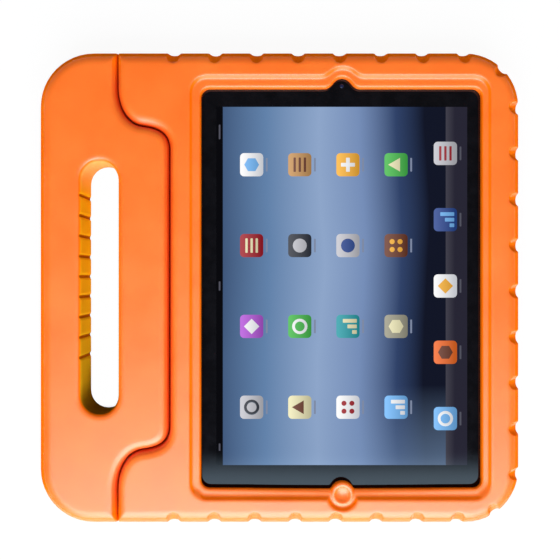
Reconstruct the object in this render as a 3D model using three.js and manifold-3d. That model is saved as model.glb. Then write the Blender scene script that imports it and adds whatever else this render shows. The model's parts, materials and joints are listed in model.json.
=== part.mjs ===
// A child's foam tablet case with a carrying handle that folds back as a stand, and the tablet in it.
// The case lies on its back. +Z is the screen side, +Y the tablet's top, and the handle is at -X.
// The origin is in the middle of the back, and all sizes are millimetres.

import * as THREE from "three";
import { mergeVertices } from "three/addons/utils/BufferGeometryUtils.js";
import Module from "manifold-3d";

const wasm = await Module();
wasm.setup();

// Tablet
const TABLET_WIDTH = 176;
const TABLET_LENGTH = 241;
const TABLET_THICK = 9.4;
const TABLET_CORNER = 12;
const TABLET_BACK_ROUND = 3.5;
const TABLET_RISE = 0.9; // the tablet's middle lies this far above the case's middle
const SHELL_WALL = 2.2;
const SHELL_FLOOR = 1.2;
const GLASS_THICK = 1.1;
const GLASS_INSET = 1.3; // from the shell's edge to the glass
const GLASS_PROUD = 0.3; // the glass stands this far above the shell's rim
const GLASS_CHAMFER = 0.25;
const SEAT = 0.3; // clearance between pieces that seat on each other

// Foam round the tablet
const FIT = 0.3; // clearance between tablet and foam
const BACK_WALL = 9.6;
const LIP_THICK = 4.6;
const STEP_DEPTH = 1.9; // the lip lies this far below the front face
const SIDE_WALL = 9.05; // right of the tablet
const END_WALL = 8.35; // mean of the walls above and below the tablet
const WEB = 6.1; // between the tablet and the hinge tongue
const FOAM_CORNER = 30;
const FRONT_ROUND = 8;
const BACK_ROUND = 6;
const SEAM_ROUND = 4.5; // front edge of the handle along the seam
const EAR_ROUND = 4.5; // front edge of the body along the seam
const BACK_EDGE_ROUND = 2.5; // back edge of the handle along the seam

// Window in the front
const SIDE_LAP = 11.45; // the lip covers this much of the tablet on either side
const END_LAP = 10.95; // and this much at its top and bottom
const WINDOW_CORNER = 4.7;
const WINDOW_SHIFT_X = -0.55; // from the tablet's middle
const WINDOW_SHIFT_Y = -1.65;
const LIP_ROUND = 1.5;
const STEP_LEFT = 4.3; // from the window's edge to the foot of the step round it
const STEP_RIGHT = 2.9;
const STEP_TOP = 4.8;
const STEP_BOTTOM = 3;
const STEP_CORNER = 7.5;
const STEP_FLARE = 2; // the step slopes outwards by this
const NOTCH_BASE = 19.8;
const NOTCH_HEIGHT = 5.8;
const NOTCH_ROOT = 3; // the notch's outline starts this far inside its edge
const NOTCH_STEP_BASE = 25;
const NOTCH_STEP_HEIGHT = 4.8; // above the straight step
const HOME_RING = 6.6; // radius of the foam pad over the home button
const HOME_ROUND = 2; // of its outer edge
const HOME_PAD_Y = -2.2; // its centre, from the window's lower edge
const HOME_PAD_PROUD = 0.9;
const HOME_DIMPLE = 3.2;
const HOME_DIMPLE_DEPTH = 1.6;
const HOME_MARGIN = 0.3; // from the pad to the foot of the step

// Handle and hinge
const GRIP_BAR = 23.9;
const SLOT_WIDTH = 19.9;
const SLOT_LENGTH = 137.2;
const SLOT_TO_AXIS = 12.95;
const SLOT_ROUND = 3;
const SEAM_GAP = 0.6;
const EAR_RUN = 0.6; // the ears reach past half the foam's thickness by this
const TONGUE_RUN = 1.7; // the tongue reaches past half the foam's thickness by this
const EAR_WIDTH = 40.75; // from the end of the case to where the seam crosses the hinge axis
const EAR_CURVE = 21; // length of the seam's curve along each ear
const TONGUE_CURVE = 13.2; // and along the tongue
const CROSS_REACH = 8.4; // the seam runs almost straight this far on either side of the hinge axis
const CROSS_SLOPE = 0.13; // its slope there
const PIN_RADIUS = 2;
const PIN_CLEARANCE = 0.1;
const BUSH_WALL = 2.4;
const BUSH_LENGTH = 16;
const BUSH_SETBACK = 3; // from the seam to the bush
const GRIP_GROOVES = 9;
const GRIP_PITCH = 11.05;
const GRIP_SHIFT = 6.2; // the grooves' middle, from the case's middle
const GRIP_RADIUS = 1.2;
const GRIP_DEPTH = 1.1;

// Dents round the rim
const DENT_WIDTH = 6.8;
const DENT_DEPTH = 1.3; // in the upright wall
const DENT_FACE_DEPTH = 2.2; // at its deepest, in the rounded edge
const DENT_RUN = 55; // lean of the rounded edge, in degrees, up to which a dent keeps its full width
const DENT_END = 85; // lean at which it ends in the face
const DENT_MARGIN = 0.5; // the rim has no other points this close to a dent
const END_DENTS = 8; // along the top and along the bottom
const SIDE_DENTS = 9;
const SEAM_TO_DENT = 2.4; // from the tongue's end to the first dent of the top and the bottom
const TOP_DENT_INSET = 30.8; // from the right side to the last dent of the top
const BOTTOM_DENT_INSET = 34.6;
const SIDE_DENT_TOP_INSET = 31; // from the top to the first dent of the side
const SIDE_DENT_BOTTOM_INSET = 27.3;
const TOP_CORNER_DENT = 0.5; // its share of the way round the corner, up from the side
const BOTTOM_CORNER_DENT = 0.62; // its share of the way round the corner, down from the side

// Openings of the case
const DOCK_WIDTH = 30;
const DOCK_HEIGHT = 7.4;
const JACK_RADIUS = 4.6;
const JACK_INSET = 20; // from the tablet's left edge
const CAMERA_HOLE = 7;
const CAMERA_INSET = 14; // from the tablet's top and right edges
const CAMERA_FLARE = 3;
const SPEAKER_WIDTH = 26;
const SPEAKER_HEIGHT = 7;
const SPEAKER_INSET_X = 34; // from the tablet's right edge
const SPEAKER_INSET_Y = 12; // from the tablet's bottom edge

// Tablet's inner pieces and buttons
const BORDER_SIDE = 17.5; // from the tablet's edge to the display, on either side
const BORDER_END = 20.5; // and at its top and bottom
const DISPLAY_THICK = 2.2;
const DISPLAY_CORNER = 1.5;
const BATTERY_WIDTH = 66;
const BATTERY_THICK = 3.4;
const BATTERY_CORNER = 3;
const BATTERY_SEAM = 0.8; // height and width of its bevelled edges
const BATTERY_GAP = 3;
const BATTERY_INSET = 27.5; // from the tablet's bottom edge
const BATTERY_TO_BOARD = 8;
const BOARD_WIDTH = 132;
const BOARD_LENGTH = 34;
const BOARD_THICK = 1.2;
const BOARD_CORNER = 2;
const BOARD_INSET = 21.5; // from the tablet's top edge
const CHIP_SIZE = 14;
const SMALL_CHIP_SIZE = 12;
const CHIP_CORNER = 0.6;
const CHIP_THICK = 1.4;
const CHIP_COUNT = 4;
const HOME_RADIUS = 5;
const HOME_THICK = 1.6;
const HOME_DISH = 0.5;
const HOME_CLEARANCE = 0.3;
const HOME_CHAMFER = 0.2;
const HOME_RIM = 3.5; // radius at which its dish begins
const HOME_INSET = 9.1; // from the tablet's bottom edge
const FRONT_CAMERA_RADIUS = 2.6;
const FRONT_CAMERA_DEPTH = 3.2;
const FRONT_CAMERA_INSET = 10.4; // from the tablet's top edge
const REAR_CAMERA_RADIUS = 3.6;
const REAR_CAMERA_DEPTH = 5;
const LENS_SHARE = 0.55; // radius of a camera's recess against its barrel's
const LENS_DEPTH = 0.5;
const LENS_DOME = 0.2; // the lens stands this far up in its recess
const JACK_LENGTH = 13;
const JACK_BARREL = 2.9;
const JACK_BORE = 1.8;
const JACK_SETBACK = 0.4; // behind the tablet's top edge
const JACK_END_WALL = 1;
const SPEAKER_BOX_HEIGHT = 4;
const DOCK_DEPTH = 8;
const CONNECTOR_WIDTH = 22;
const CONNECTOR_HEIGHT = 2.8;
const CONNECTOR_WALL = 0.6;
const POWER_WIDTH = 10;
const POWER_INSET = 24; // from the tablet's right edge
const VOLUME_LENGTH = 20;
const VOLUME_INSET = 34; // from the tablet's top edge
const BUTTON_HEIGHT = 2.4;
const BUTTON_DEPTH = 2.6;
const BUTTON_PROUD = 0.6;
const BUTTON_CLEARANCE = 0.4;
const BUTTON_ROOM = 1; // foam stays this far off the buttons

// Faceting
const CORNER_STEPS = 6;
const SEAM_STEPS = 12;
const RIM_STEPS = 12;
const DENT_SHARES = [-1, -0.87, -0.5, 0, 0.5, 0.87, 1];
const DENT_LEAN_SHARES = [0, 0.5, 0.87, 1];
const SMALL_STEPS = 3;
const SIDES = 4; // of the case's outline
const LATHE_STEPS = 40;
const BORE_STEPS = 24;
const GROOVE_STEPS = 12;
const MARGIN = 20; // cutters reach this far past the foam
const OVERRUN = 1; // and this far past a face inside it
const SAME_POINT = 1e-4; // points closer than this are one

// Derived places
const FRONT = BACK_WALL + FIT + TABLET_THICK + FIT + LIP_THICK + STEP_DEPTH;
const AXIS_Z = FRONT / 2;
const EAR_REACH = AXIS_Z + EAR_RUN;
const TONGUE_REACH = AXIS_Z + TONGUE_RUN;
const WIDTH = GRIP_BAR + SLOT_WIDTH + SLOT_TO_AXIS + TONGUE_REACH + WEB + TABLET_WIDTH + 2 * FIT + SIDE_WALL;
const LENGTH = TABLET_LENGTH + 2 * (FIT + END_WALL);
const LEFT = -WIDTH / 2;
const RIGHT = WIDTH / 2;
const TOP = LENGTH / 2;
const CORNER_RUN = (FOAM_CORNER * Math.PI) / 2;
const QUARTER_RUN = RIGHT + TOP - 2 * FOAM_CORNER + CORNER_RUN; // a quarter of the way round the rim
const SLOT_LEFT = LEFT + GRIP_BAR;
const AXIS_X = SLOT_LEFT + SLOT_WIDTH + SLOT_TO_AXIS;
const PIN_Y = TOP - EAR_WIDTH;
const TABLET_X = RIGHT - SIDE_WALL - FIT - TABLET_WIDTH / 2;
const TABLET_BACK = BACK_WALL + FIT;
const TABLET_FRONT = TABLET_BACK + TABLET_THICK;
const TABLET_MID = (TABLET_BACK + TABLET_FRONT) / 2;
const TABLET_LEFT = TABLET_X - TABLET_WIDTH / 2;
const TABLET_RIGHT = TABLET_X + TABLET_WIDTH / 2;
const TABLET_TOP = TABLET_RISE + TABLET_LENGTH / 2;
const TABLET_BOTTOM = TABLET_RISE - TABLET_LENGTH / 2;
const WINDOW_WIDTH = TABLET_WIDTH - 2 * SIDE_LAP;
const WINDOW_LENGTH = TABLET_LENGTH - 2 * END_LAP;
const LIP_TOP = FRONT - STEP_DEPTH;
const WINDOW_X = TABLET_X + WINDOW_SHIFT_X;
const WINDOW_Y = TABLET_RISE + WINDOW_SHIFT_Y;
const WINDOW_TOP = WINDOW_Y + WINDOW_LENGTH / 2;
const HOME_PAD = new THREE.Vector2(TABLET_X, WINDOW_Y - WINDOW_LENGTH / 2 + HOME_PAD_Y);
const GLASS_BACK = TABLET_FRONT - GLASS_THICK;
const HOME_CENTRE = new THREE.Vector2(TABLET_X, TABLET_BOTTOM + HOME_INSET);
const CAVITY_FLOOR = TABLET_BACK + SHELL_FLOOR;
const CAVITY_INSET = SHELL_WALL + OVERRUN;
const BATTERY_LENGTH = TABLET_LENGTH - BATTERY_INSET - BATTERY_TO_BOARD - BOARD_LENGTH - BOARD_INSET;
const REAR_CAMERA = new THREE.Vector2(TABLET_RIGHT - CAMERA_INSET, TABLET_TOP - CAMERA_INSET);
const CONNECTOR_Z = CAVITY_FLOOR + SEAT + CONNECTOR_WALL + CONNECTOR_HEIGHT / 2;
const JACK_X = TABLET_LEFT + JACK_INSET;
const JACK_Z = CAVITY_FLOOR + SEAT + JACK_BARREL;
const BUSH_RADIUS = PIN_RADIUS + PIN_CLEARANCE + BUSH_WALL;

const MATERIALS = {
  foam: { color: 0xf5731a, roughness: 0.62, metalness: 0 },
  steel: { color: 0xb9bcc0, roughness: 0.3, metalness: 1 },
  nylon: { color: 0xe9e6dc, roughness: 0.5, metalness: 0 },
  aluminium: { color: 0xc4c6c9, roughness: 0.38, metalness: 1 },
  glass: { color: 0x0b0c10, roughness: 0.06, metalness: 0 },
  screen: { color: 0x4c6d9c, roughness: 0.3, metalness: 0 },
  battery: { color: 0x2c2d30, roughness: 0.55, metalness: 0 },
  board: { color: 0x14452f, roughness: 0.5, metalness: 0 },
  plastic: { color: 0x191a1c, roughness: 0.35, metalness: 0 },
};

function solidOf(geometry) {
  const loose = geometry.index ? geometry.toNonIndexed() : geometry;
  const bare = new THREE.BufferGeometry().setAttribute("position", loose.getAttribute("position"));
  const merged = mergeVertices(bare, SAME_POINT);
  const vertProperties = merged.getAttribute("position").array;
  const triVerts = new Uint32Array(merged.index.array);
  return new wasm.Manifold(new wasm.Mesh({ numProp: 3, vertProperties, triVerts }));
}

function geometryOf(solid) {
  const { numProp, numVert, vertProperties, triVerts } = solid.getMesh();
  const positions = new Float32Array(numVert * 3);
  for (let i = 0; i < numVert; i++) {
    positions.set(vertProperties.subarray(i * numProp, i * numProp + 3), i * 3);
  }
  const geometry = new THREE.BufferGeometry();
  geometry.setAttribute("position", new THREE.BufferAttribute(positions, 3));
  geometry.setIndex(new THREE.BufferAttribute(triVerts, 1));
  return geometry;
}

const union = (solids) => solids.reduce((sum, solid) => sum.add(solid));
const cut = (solid, cutters) => cutters.reduce((rest, cutter) => rest.subtract(cutter), solid);

// A closed solid through a stack of rings, each counter-clockwise from above and with as many points.
function loft(rings) {
  const count = rings[0].length;
  const positions = rings.flat().flatMap((point) => point.toArray());
  const faces = [];
  for (let level = 0; level < rings.length - 1; level++) {
    for (let i = 0; i < count; i++) {
      const near = level * count + i;
      const next = level * count + ((i + 1) % count);
      faces.push(near, next, next + count, near, next + count, near + count);
    }
  }
  const flat = (ring) => ring.map((point) => new THREE.Vector2(point.x, point.y));
  const last = (rings.length - 1) * count;
  for (const [a, b, c] of THREE.ShapeUtils.triangulateShape(flat(rings[0]), [])) {
    faces.push(c, b, a);
  }
  for (const [a, b, c] of THREE.ShapeUtils.triangulateShape(flat(rings[rings.length - 1]), [])) {
    faces.push(a + last, b + last, c + last);
  }
  const geometry = new THREE.BufferGeometry();
  geometry.setAttribute("position", new THREE.Float32BufferAttribute(positions, 3));
  geometry.setIndex(faces);
  return solidOf(geometry);
}

// An outline moved outwards by a distance, with mitred corners.
function grow(outline, distance) {
  return outline.map((point, i) => {
    const before = outline[(i + outline.length - 1) % outline.length];
    const after = outline[(i + 1) % outline.length];
    const arriving = point.clone().sub(before).normalize();
    const leaving = after.clone().sub(point).normalize();
    const side = new THREE.Vector2(arriving.y, -arriving.x);
    const middle = new THREE.Vector2(leaving.y, -leaving.x).add(side).normalize();
    return point.clone().addScaledVector(middle, distance / middle.dot(side));
  });
}

// A loft of one outline, with levels as pairs of height and growth.
function stack(outline, levels) {
  return loft(
    levels.map(([z, growth]) => grow(outline, growth).map((point) => new THREE.Vector3(point.x, point.y, z))),
  );
}

// Levels of a quarter round: at share 0 the wall is upright, and at share 1 it has turned into the face.
function roundLevels(radius, steps, level) {
  return Array.from({ length: steps + 1 }, (_, i) => {
    const angle = ((i / steps) * Math.PI) / 2;
    return level(radius * Math.sin(angle), radius * (1 - Math.cos(angle)));
  });
}

function roundedRectangle(xMin, xMax, yMin, yMax, radius, steps) {
  const corners = [
    [xMax - radius, yMin + radius, -90],
    [xMax - radius, yMax - radius, 0],
    [xMin + radius, yMax - radius, 90],
    [xMin + radius, yMin + radius, 180],
  ];
  const outline = corners.flatMap(([x, y, start]) =>
    Array.from({ length: steps + 1 }, (_, i) => {
      const angle = THREE.MathUtils.degToRad(start + (i * 90) / steps);
      return new THREE.Vector2(x + radius * Math.cos(angle), y + radius * Math.sin(angle));
    }),
  );
  return outline.filter((point, i) => point.distanceTo(outline.at(i - 1)) > SAME_POINT);
}

function centredRectangle(x, y, width, length, radius, steps) {
  return roundedRectangle(x - width / 2, x + width / 2, y - length / 2, y + length / 2, radius, steps);
}

// A prism whose outline lies across X (axis "x"), Y (axis "y") or Z (axis "z"), between two places on it.
function prism(outline, axis, from, to) {
  const options = { depth: to - from, bevelEnabled: false };
  const geometry = new THREE.ExtrudeGeometry(new THREE.Shape(outline), options);
  const x = new THREE.Vector3(1, 0, 0);
  const y = new THREE.Vector3(0, 1, 0);
  const z = new THREE.Vector3(0, 0, 1);
  const frames = {
    x: new THREE.Matrix4().makeBasis(y, z, x).setPosition(from, 0, 0),
    y: new THREE.Matrix4().makeBasis(x, z, y.clone().negate()).setPosition(0, to, 0),
    z: new THREE.Matrix4().makeBasis(x, y, z).setPosition(0, 0, from),
  };
  return solidOf(geometry.applyMatrix4(frames[axis]));
}

function rod(radius, from, to, x, z, steps) {
  const geometry = new THREE.CylinderGeometry(radius, radius, to - from, steps);
  return solidOf(geometry.translate(x, (from + to) / 2, z));
}

// A turned piece: its profile is pairs of radius and height, and it stands upright at x, y.
function turned(profile, x, y, z, steps) {
  const points = profile.map(([radius, height]) => new THREE.Vector2(radius, height));
  const geometry = new THREE.LatheGeometry(points, steps).rotateX(Math.PI / 2);
  return solidOf(geometry.translate(x, y, z));
}

// A place on the rim by its distance along it, counter-clockwise from the middle of the right side.
function rimPlace(distance) {
  const side = Math.round(distance / QUARTER_RUN);
  const [reach, half] = side % 2 ? [TOP, RIGHT - FOAM_CORNER] : [RIGHT, TOP - FOAM_CORNER];
  const way = distance - side * QUARTER_RUN;
  const straight = THREE.MathUtils.clamp(way, -half, half);
  const turn = (way - straight) / FOAM_CORNER;
  const origin = new THREE.Vector2();
  const quarter = (side * Math.PI) / 2;
  const point = new THREE.Vector2(FOAM_CORNER, 0).rotateAround(origin, turn);
  point.add(new THREE.Vector2(reach - FOAM_CORNER, straight)).rotateAround(origin, quarter);
  const out = new THREE.Vector2(1, 0).rotateAround(origin, quarter + turn);
  return { point, out };
}

// Distances along the rim of the dents' middles.
function dentDistances() {
  const spread = (count, first, last) =>
    Array.from({ length: count }, (_, i) => THREE.MathUtils.lerp(first, last, i / (count - 1)));
  const seamX = AXIS_X + TONGUE_REACH + SEAM_TO_DENT;
  const sideTop = TOP - FOAM_CORNER;
  return [
    ...spread(SIDE_DENTS, SIDE_DENT_BOTTOM_INSET - TOP, TOP - SIDE_DENT_TOP_INSET),
    ...spread(END_DENTS, QUARTER_RUN - (RIGHT - TOP_DENT_INSET), QUARTER_RUN - seamX),
    ...spread(END_DENTS, seamX - QUARTER_RUN, RIGHT - BOTTOM_DENT_INSET - QUARTER_RUN),
    sideTop + TOP_CORNER_DENT * CORNER_RUN,
    -sideTop - BOTTOM_CORNER_DENT * CORNER_RUN,
  ];
}

// The places round the rim, each with its share of the way from a dent's middle to its edge.
function rimOutline() {
  const dents = dentDistances();
  const places = dents.flatMap((middle) =>
    DENT_SHARES.map((share) => ({ distance: middle + (share * DENT_WIDTH) / 2, share })),
  );
  for (let side = 0; side < SIDES; side++) {
    const start = side * QUARTER_RUN + (side % 2 ? RIGHT : TOP) - FOAM_CORNER;
    for (let i = 0; i <= RIM_STEPS; i++) {
      const distance = start + (i * CORNER_RUN) / RIM_STEPS;
      const wrapped = distance > 2 * QUARTER_RUN ? distance - SIDES * QUARTER_RUN : distance;
      const dented = dents.some((middle) => Math.abs(middle - wrapped) < DENT_WIDTH / 2 + DENT_MARGIN);
      if (!dented) places.push({ distance: wrapped, share: 1 });
    }
  }
  places.sort((a, b) => a.distance - b.distance);
  return places.map(({ distance, share }) => ({ ...rimPlace(distance), share }));
}

// The whole foam block, case and handle together, with round edges and the rim's dents.
function foamBlock() {
  const rim = rimOutline();
  const ring = (round, lean, level) => {
    const end = Math.max(0, (lean - DENT_RUN) / (DENT_END - DENT_RUN));
    const deepest = THREE.MathUtils.lerp(DENT_DEPTH, DENT_FACE_DEPTH, Math.min(1, lean / DENT_RUN));
    const tilt = THREE.MathUtils.degToRad(lean);
    return rim.map(({ point, out, share }) => {
      const depth = deepest * Math.sqrt(Math.max(0, 1 - share ** 2 - end ** 2));
      const inset = round * (1 - Math.cos(tilt)) + depth * Math.cos(tilt);
      const flat = point.clone().addScaledVector(out, -inset);
      const drop = round * (1 - Math.sin(tilt)) + depth * Math.sin(tilt);
      return new THREE.Vector3(flat.x, flat.y, level(drop));
    });
  };
  const dentLeans = DENT_LEAN_SHARES.map((share) => THREE.MathUtils.lerp(DENT_RUN, DENT_END, share));
  const leans = [0, DENT_RUN / 2, ...dentLeans, 90];
  const back = leans.map((lean) => ring(BACK_ROUND, lean, (drop) => drop)).reverse();
  const front = leans.map((lean) => ring(FRONT_ROUND, lean, (drop) => FRONT - drop));
  return loft([...back, ...front]);
}

// The seam between body and handle, from below to above: along an ear, over the hinge axis, round the tongue.
function seamLine() {
  const ear = AXIS_X - EAR_REACH;
  const tongue = AXIS_X + TONGUE_REACH;
  const path = new THREE.Path();
  const rise = CROSS_REACH * CROSS_SLOPE;
  path.moveTo(ear, TOP + MARGIN);
  path.lineTo(ear, PIN_Y + EAR_CURVE);
  path.bezierCurveTo(ear, PIN_Y + EAR_CURVE / 2, AXIS_X - CROSS_REACH, PIN_Y + rise, AXIS_X, PIN_Y);
  const bend = PIN_Y - TONGUE_CURVE / 4;
  path.bezierCurveTo(AXIS_X + CROSS_REACH, PIN_Y - rise, tongue, bend, tongue, PIN_Y - TONGUE_CURVE);
  const upper = path.getPoints(SEAM_STEPS);
  const lower = upper.map((point) => new THREE.Vector2(point.x, -point.y));
  return [...lower, ...upper.reverse()];
}

function handleOutline() {
  const corner = LEFT - MARGIN;
  return [
    new THREE.Vector2(corner, -TOP - MARGIN),
    ...seamLine(),
    new THREE.Vector2(corner, TOP + MARGIN),
  ];
}

function bodyOutline() {
  const corner = RIGHT + MARGIN;
  return [
    new THREE.Vector2(corner, -TOP - MARGIN),
    new THREE.Vector2(corner, TOP + MARGIN),
    ...seamLine().reverse(),
  ];
}

// An outline's places on one side of the hinge axis, each as its radius about the axis and its y.
function seamRadii(outline, side) {
  const reach = outline.map((point) => ({ radius: side * (point.x - AXIS_X), y: point.y }));
  const kept = [];
  for (let i = 1; i < reach.length; i++) {
    const [a, b] = [reach[i - 1], reach[i]];
    if (a.radius > 0 !== b.radius > 0) {
      const share = a.radius / (a.radius - b.radius);
      kept.push({ radius: 0, y: a.y + share * (b.y - a.y) });
    }
    if (b.radius > 0) kept.push(b);
  }
  return kept;
}

// Turns a run of radii about the hinge axis, so that it clears its neighbour at every angle.
function turnedAboutAxis(radii) {
  const profile = radii.map(({ radius, y }) => new THREE.Vector2(radius, y));
  profile.sort((a, b) => a.y - b.y);
  const first = profile[0];
  const last = profile[profile.length - 1];
  if (first.x > 0) profile.unshift(new THREE.Vector2(0, first.y));
  if (last.x > 0) profile.push(new THREE.Vector2(0, last.y));
  const geometry = new THREE.LatheGeometry(profile, LATHE_STEPS);
  return solidOf(geometry.translate(AXIS_X, 0, AXIS_Z));
}

// The upper half of a foam piece, whose front edge along the seam is rounded.
function frontHalf(outline, round) {
  const edge = roundLevels(round, SMALL_STEPS, (rise, inset) => [FRONT - round + rise, -inset]);
  return stack(outline, [[AXIS_Z, 0], ...edge, [FRONT + MARGIN, -round]]);
}

function slotCutter() {
  const outline = roundedRectangle(
    SLOT_LEFT,
    SLOT_LEFT + SLOT_WIDTH,
    -SLOT_LENGTH / 2,
    SLOT_LENGTH / 2,
    SLOT_WIDTH / 2,
    CORNER_STEPS,
  );
  const above = roundLevels(SLOT_ROUND, SMALL_STEPS, (rise, flare) => [FRONT - SLOT_ROUND + rise, flare]);
  const below = roundLevels(SLOT_ROUND, SMALL_STEPS, (rise, flare) => [SLOT_ROUND - rise, flare]).reverse();
  return stack(outline, [[-MARGIN, SLOT_ROUND], ...below, ...above, [FRONT + MARGIN, SLOT_ROUND]]);
}

function gripGrooves() {
  return Array.from({ length: GRIP_GROOVES }, (_, i) => {
    const y = GRIP_SHIFT + (i - (GRIP_GROOVES - 1) / 2) * GRIP_PITCH;
    const geometry = new THREE.CylinderGeometry(GRIP_RADIUS, GRIP_RADIUS, FRONT + 2 * MARGIN, GROOVE_STEPS);
    geometry.rotateX(Math.PI / 2);
    return solidOf(geometry.translate(SLOT_LEFT + GRIP_RADIUS - GRIP_DEPTH, y, AXIS_Z));
  });
}

// A bore for a bush, from the seam into the foam on one side of it.
function bushBore(end, side) {
  const near = end * (PIN_Y - side * BUSH_SETBACK);
  const far = end * (PIN_Y + side * (BUSH_SETBACK + BUSH_LENGTH + SEAT));
  return rod(BUSH_RADIUS + SEAT, Math.min(near, far), Math.max(near, far), AXIS_X, AXIS_Z, BORE_STEPS);
}

function handle() {
  const outline = grow(handleOutline(), -SEAM_GAP / 2);
  const shoulder = AXIS_X - EAR_REACH - SEAM_GAP / 2;
  const shoulderOutline = [
    new THREE.Vector2(LEFT - MARGIN, -TOP - MARGIN),
    new THREE.Vector2(shoulder, -TOP - MARGIN),
    new THREE.Vector2(shoulder, TOP + MARGIN),
    new THREE.Vector2(LEFT - MARGIN, TOP + MARGIN),
  ];
  const backEdge = roundLevels(BACK_EDGE_ROUND, SMALL_STEPS, (rise, inset) => [
    BACK_EDGE_ROUND - rise,
    -inset,
  ]).reverse();
  const lowerShoulder = stack(shoulderOutline, [...backEdge, [AXIS_Z + OVERRUN, 0]]);
  const tongue = seamRadii(outline, 1);
  const root = tongue.map(({ radius, y }) => new THREE.Vector2(y, AXIS_Z - radius));
  const tongueRoot = prism(root, "x", shoulder - BACK_EDGE_ROUND, AXIS_X);
  const whole = union([frontHalf(outline, SEAM_ROUND), lowerShoulder, turnedAboutAxis(tongue), tongueRoot]);
  return cut(foamBlock().intersect(whole), [
    slotCutter(),
    ...gripGrooves(),
    bushBore(1, -1),
    bushBore(-1, -1),
  ]);
}

// The window's funnel: its edge is rounded down towards the glass.
function windowCutter(outline) {
  const edge = roundLevels(LIP_ROUND, SMALL_STEPS + 1, (rise, flare) => [LIP_TOP - LIP_ROUND + rise, flare]);
  return stack(outline, [[TABLET_FRONT - OVERRUN, 0], ...edge, [FRONT + MARGIN, LIP_ROUND]]);
}

function stepCutter(outline) {
  return stack(outline, [
    [LIP_TOP, 0],
    [FRONT, STEP_FLARE],
    [FRONT + MARGIN, STEP_FLARE],
  ]);
}

function windowOutline() {
  return centredRectangle(WINDOW_X, WINDOW_Y, WINDOW_WIDTH, WINDOW_LENGTH, WINDOW_CORNER, CORNER_STEPS);
}

// The foot of the step from the lip up to the front face.
function stepOutline() {
  return roundedRectangle(
    WINDOW_X - WINDOW_WIDTH / 2 - STEP_LEFT,
    WINDOW_X + WINDOW_WIDTH / 2 + STEP_RIGHT,
    WINDOW_Y - WINDOW_LENGTH / 2 - STEP_BOTTOM,
    WINDOW_TOP + STEP_TOP,
    STEP_CORNER,
    CORNER_STEPS,
  );
}

// A bell standing on an edge at y, over the front camera.
function bellOutline(base, height, y) {
  const half = base / 2;
  const path = new THREE.Path();
  path.moveTo(-half, -NOTCH_ROOT);
  path.lineTo(half, -NOTCH_ROOT);
  path.lineTo(half, 0);
  path.bezierCurveTo(half / 2, 0, half / 2, height, 0, height);
  path.bezierCurveTo(-half / 2, height, -half / 2, 0, -half, 0);
  const offset = new THREE.Vector2(TABLET_X, y);
  return path.getPoints(SEAM_STEPS).map((point) => point.add(offset));
}

function circleOutline(centre, radius, steps) {
  return Array.from({ length: steps }, (_, i) => {
    const angle = (i * 2 * Math.PI) / steps;
    return new THREE.Vector2(centre.x + radius * Math.cos(angle), centre.y + radius * Math.sin(angle));
  });
}

// The foam pad over the home button: a raised ring round a thumb dimple.
function homePad() {
  const top = LIP_TOP + HOME_PAD_PROUD;
  const edge = roundLevels(HOME_ROUND, SMALL_STEPS, (rise, inset) => [
    HOME_RING - inset,
    top - HOME_ROUND + rise,
  ]);
  const dish = roundLevels(HOME_DIMPLE, SMALL_STEPS, (out, rise) => [
    out,
    top - HOME_DIMPLE_DEPTH + (rise * HOME_DIMPLE_DEPTH) / HOME_DIMPLE,
  ]).reverse();
  const base = TABLET_FRONT + FIT;
  return turned([[0, base], [HOME_RING, base], ...edge, ...dish], HOME_PAD.x, HOME_PAD.y, 0, LATHE_STEPS);
}

// An outline with round ends.
function slotOutline(across, up, width, height) {
  return centredRectangle(across, up, width, height, height / 2, SMALL_STEPS);
}

function speakerOutline() {
  const x = TABLET_RIGHT - SPEAKER_INSET_X;
  return slotOutline(x, TABLET_BOTTOM + SPEAKER_INSET_Y, SPEAKER_WIDTH, SPEAKER_HEIGHT);
}

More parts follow.
